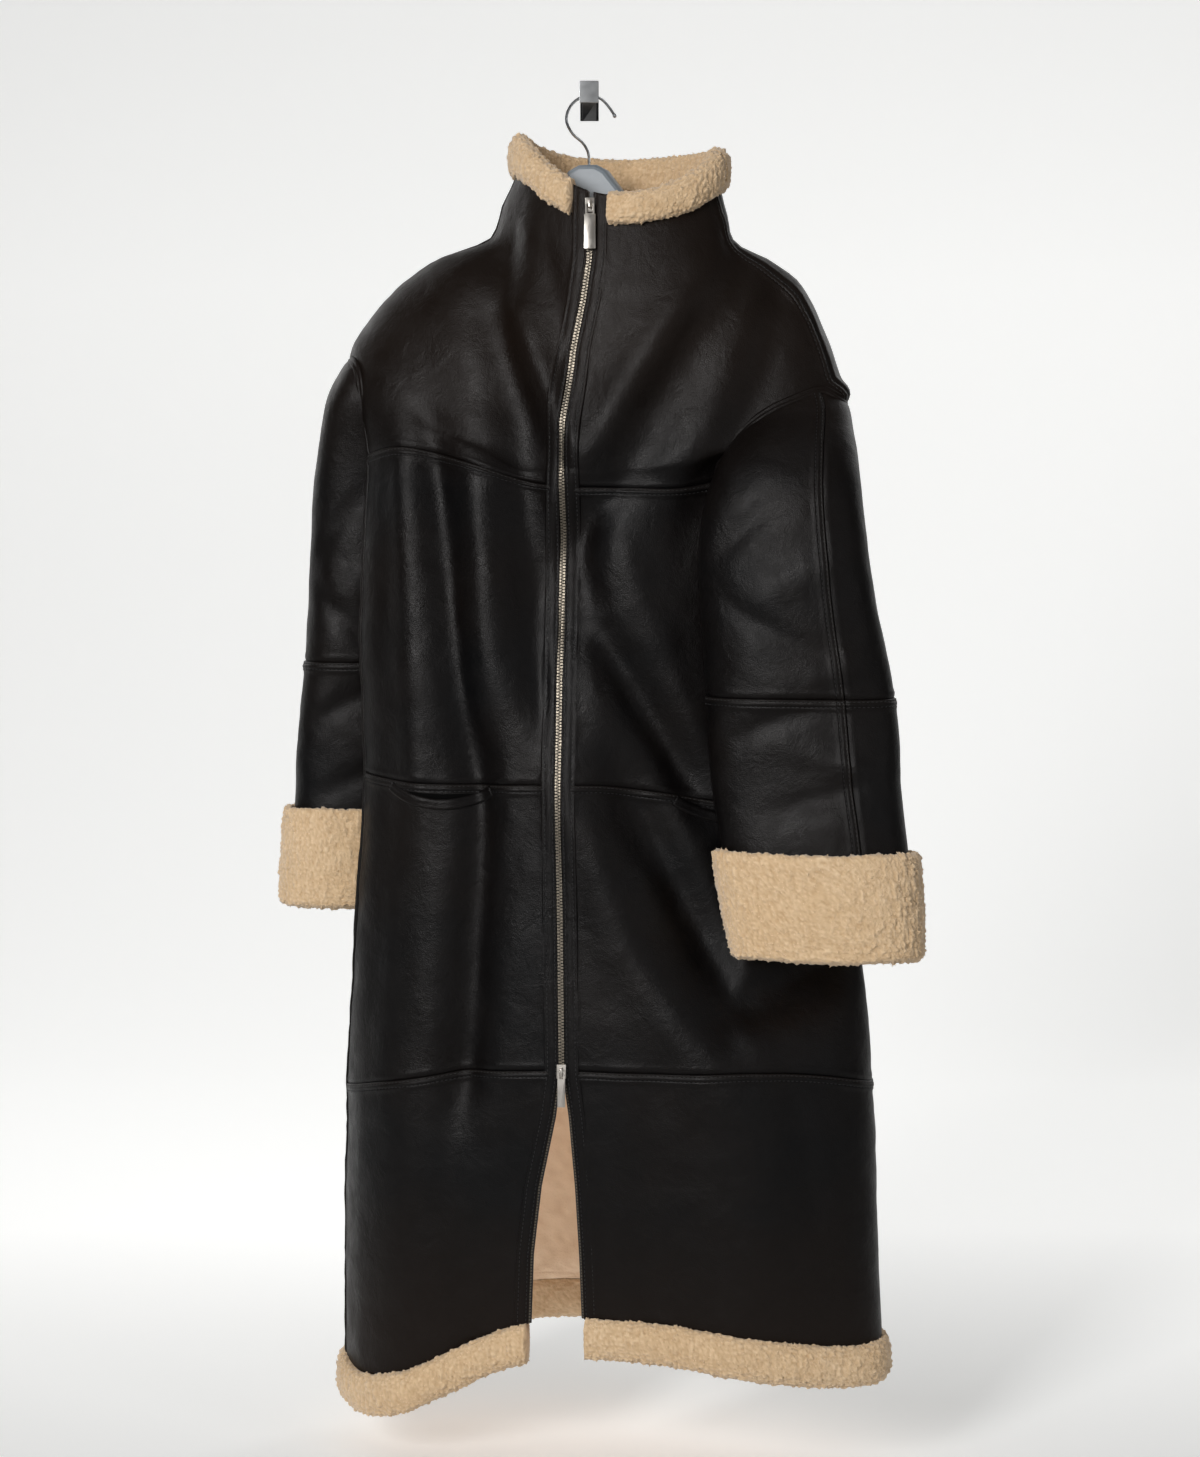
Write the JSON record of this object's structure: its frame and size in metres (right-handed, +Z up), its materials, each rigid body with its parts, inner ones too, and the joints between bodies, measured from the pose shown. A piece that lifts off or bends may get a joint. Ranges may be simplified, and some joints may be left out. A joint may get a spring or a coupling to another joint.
{
  "type": "shearling coat on a hanger and wall hook",
  "caption": "Long black leather coat with a turned-out wool collar, cuffs and hem and a two-way front zip, hanging on a hanger from a square wall hook",
  "frame": {"origin": "middle of the wall hook's back face, on the wall plane y = 0", "axes": "+Z up along the hanging coat, -Y out of the wall and the way the coat's front looks, +X to the viewer's right"},
  "size_m": [0.636, 0.3402, 1.3242],
  "materials": {
    "leather": "semi-gloss fine-grained black leather",
    "wool": "tan sheep's wool in short tight curls",
    "zip_metal": "polished silver zip metal",
    "hanger_grey": "matt blue-grey",
    "steel": "bright steel",
    "hook_black": "satin black"
  },
  "bodies": {
    "coat": {"back_body": "leather", "back_yoke": "leather", "collar_roll_back": "wool", "collar_roll_left": "wool", "collar_roll_right": "wool", "cuff_left": "wool", "cuff_right": "wool", "front_left_hem": "leather", "front_left_lower": "leather", "front_left_mid": "leather", "front_left_yoke": "leather", "front_right_hem": "leather", "front_right_lower": "leather", "front_right_mid": "leather", "front_right_yoke": "leather", "hanger_body": "hanger_grey", "hanger_wire": "steel", "hem_roll_back": "wool", "hem_roll_left": "wool", "hem_roll_right": "wool", "pocket_welt_left": "leather", "pocket_welt_right": "leather", "sleeve_left_back_lower": "leather", "sleeve_left_back_upper": "leather", "sleeve_left_front_lower": "leather", "sleeve_left_front_upper": "leather", "sleeve_right_back_lower": "leather", "sleeve_right_back_upper": "leather", "sleeve_right_front_lower": "leather", "sleeve_right_front_upper": "leather", "slider_bottom": "zip_metal", "slider_top": "zip_metal", "wall_hook": "hook_black", "wall_hook_lip": "steel", "zip_band_left": "leather", "zip_band_right": "leather", "zip_teeth_closed": "zip_metal", "zip_teeth_open_left": "zip_metal", "zip_teeth_open_right": "zip_metal"},
    "top_pull": {"pull_top": "zip_metal"},
    "bottom_pull": {"pull_bottom": "zip_metal"}
  },
  "joints": [
    {"name": "top_pull_hinge", "type": "hinge", "parent": "coat", "child": "top_pull", "pos_m": [0.0009, -0.2015, -0.1101], "axis": [-1, 0, 0], "range_deg": [0, 150]},
    {"name": "bottom_pull_hinge", "type": "hinge", "parent": "coat", "child": "bottom_pull", "pos_m": [-0.0265, -0.262, -0.9435], "axis": [-1, 0, 0], "range_deg": [0, 150]}
  ]
}
